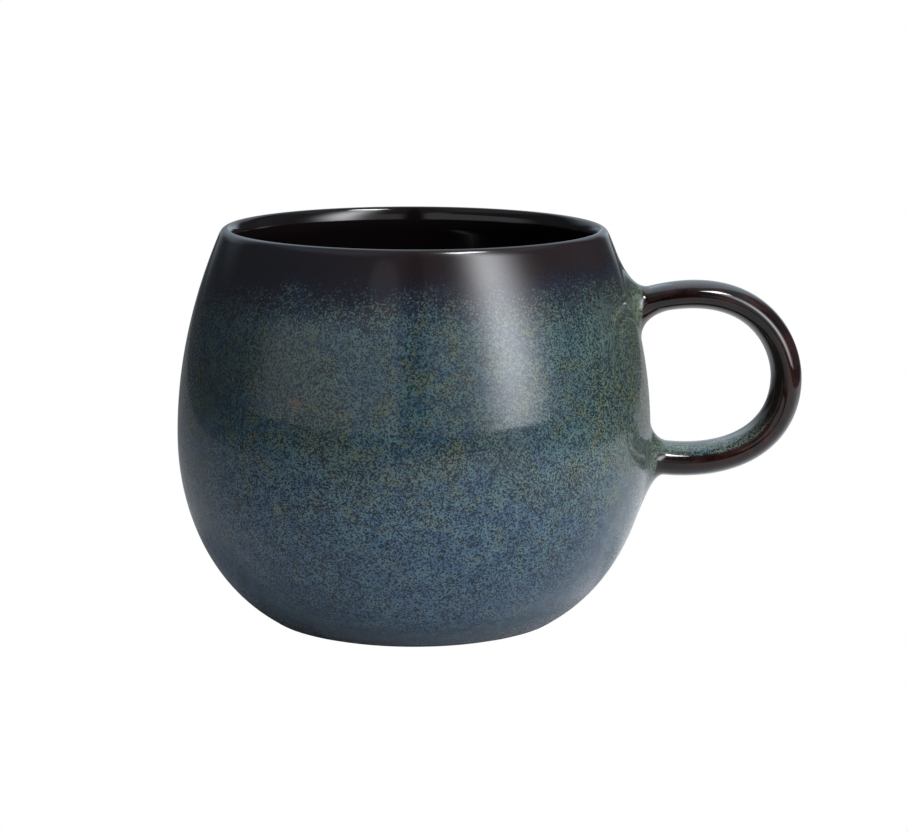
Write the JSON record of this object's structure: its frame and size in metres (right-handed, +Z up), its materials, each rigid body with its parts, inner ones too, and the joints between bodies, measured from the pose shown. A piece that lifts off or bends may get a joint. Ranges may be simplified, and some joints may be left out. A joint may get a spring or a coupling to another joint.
{
  "type": "ceramic mug",
  "caption": "Round-bellied stoneware mug with a wide mouth, a loop handle at one side and a bare clay foot ring, in a speckled blue-green glaze with a dark brown rim.",
  "frame": {"origin": "middle of the overall box in X and Y, at the plane that the foot ring stands on; the cup's own axis is 16.84 mm from it towards -X", "axes": "+Z up along the cup's axis, +X from the cup towards the handle, +Y across the handle"},
  "size_m": [0.1386, 0.105, 0.0868],
  "materials": {
    "body_glaze": "glossy reactive glaze, finely speckled blue, teal and olive, running into dark brown at the rim and inside",
    "handle_glaze": "glossy dark reddish brown glaze, pooling blue-grey on the inner side",
    "joint_glaze": "glossy pooled glaze, speckled green",
    "bare_clay": "unglazed, fine sandy stoneware"
  },
  "bodies": {
    "root": {"bowl": "body_glaze", "foot_ring": "bare_clay", "handle": "handle_glaze", "upper_handle_joint": "joint_glaze", "lower_handle_joint": "joint_glaze"}
  },
  "joints": []
}
